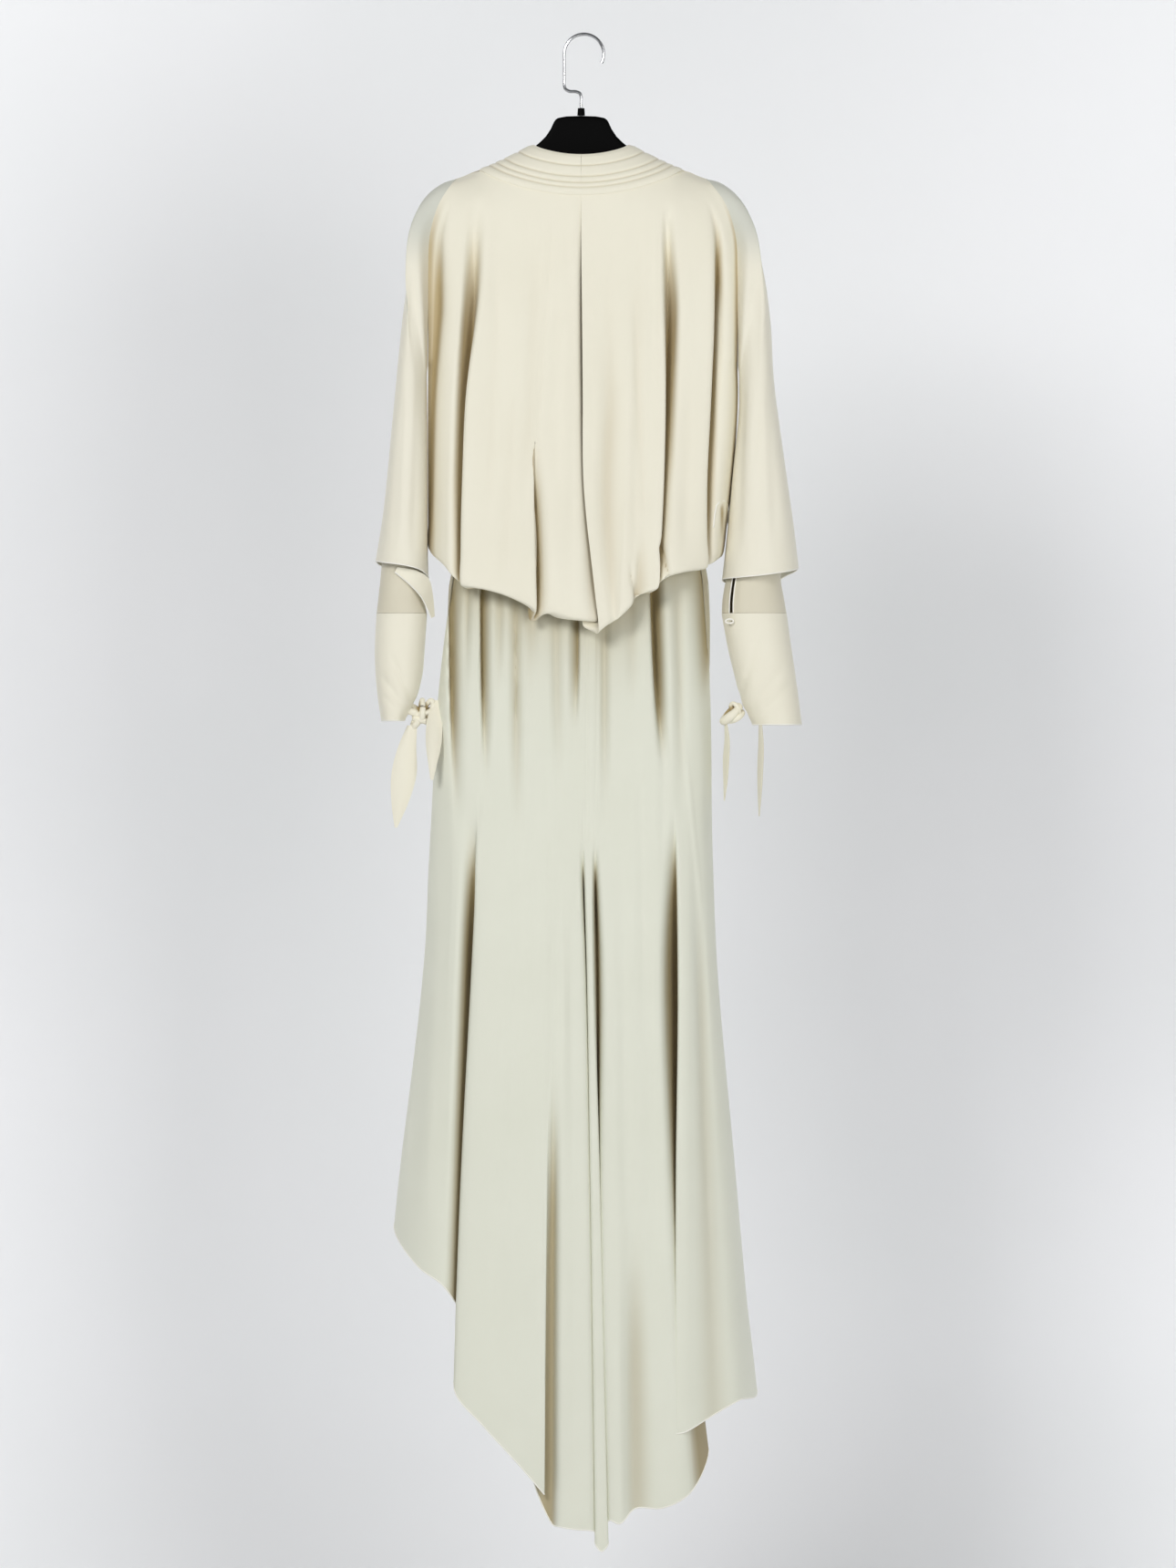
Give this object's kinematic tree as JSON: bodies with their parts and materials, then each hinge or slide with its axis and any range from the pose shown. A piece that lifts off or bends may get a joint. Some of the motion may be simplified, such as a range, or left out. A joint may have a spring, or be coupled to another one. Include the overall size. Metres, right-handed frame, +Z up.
{
  "type": "long dress on hanger",
  "caption": "Long ivory dress hung by its shoulders, with a bloused back, wide sleeves, tied cuffs and a skirt that falls into a train.",
  "frame": {"origin": "the inside top of the hook's bend, where a rail carries it", "axes": "+Z up, +X to the right as seen from the dress's back, -Y out of the dress's back"},
  "size_m": [0.5312, 0.1909, 1.8799],
  "materials": {
    "silk_crepe": "soft satin-matte ivory silk crepe",
    "sheer_silk": "one sheer layer of ivory silk",
    "hanger_plastic": "moulded black plastic, low sheen",
    "hook_wire": "bright plated steel wire"
  },
  "bodies": {
    "root": {"back_left": "silk_crepe", "back_right": "silk_crepe", "front_bodice": "silk_crepe", "neck_band_left": "silk_crepe", "neck_band_right": "silk_crepe", "neck_front_left": "silk_crepe", "neck_front_right": "silk_crepe", "skirt_side_left": "silk_crepe", "skirt_back_left": "silk_crepe", "skirt_back_right": "silk_crepe", "skirt_side_right": "silk_crepe", "skirt_front": "silk_crepe", "sleeve_left": "silk_crepe", "sleeve_right": "silk_crepe", "under_sleeve_left": "sheer_silk", "under_sleeve_right": "sheer_silk", "cuff_left": "silk_crepe", "cuff_right": "silk_crepe", "knot_left": "silk_crepe", "knot_right": "silk_crepe", "tie_left_long": "silk_crepe", "tie_left_short": "silk_crepe", "tie_right_near": "silk_crepe", "tie_right_far": "silk_crepe", "hanger_body": "hanger_plastic", "hanger_stub": "hanger_plastic", "hook": "hook_wire"}
  },
  "joints": []
}
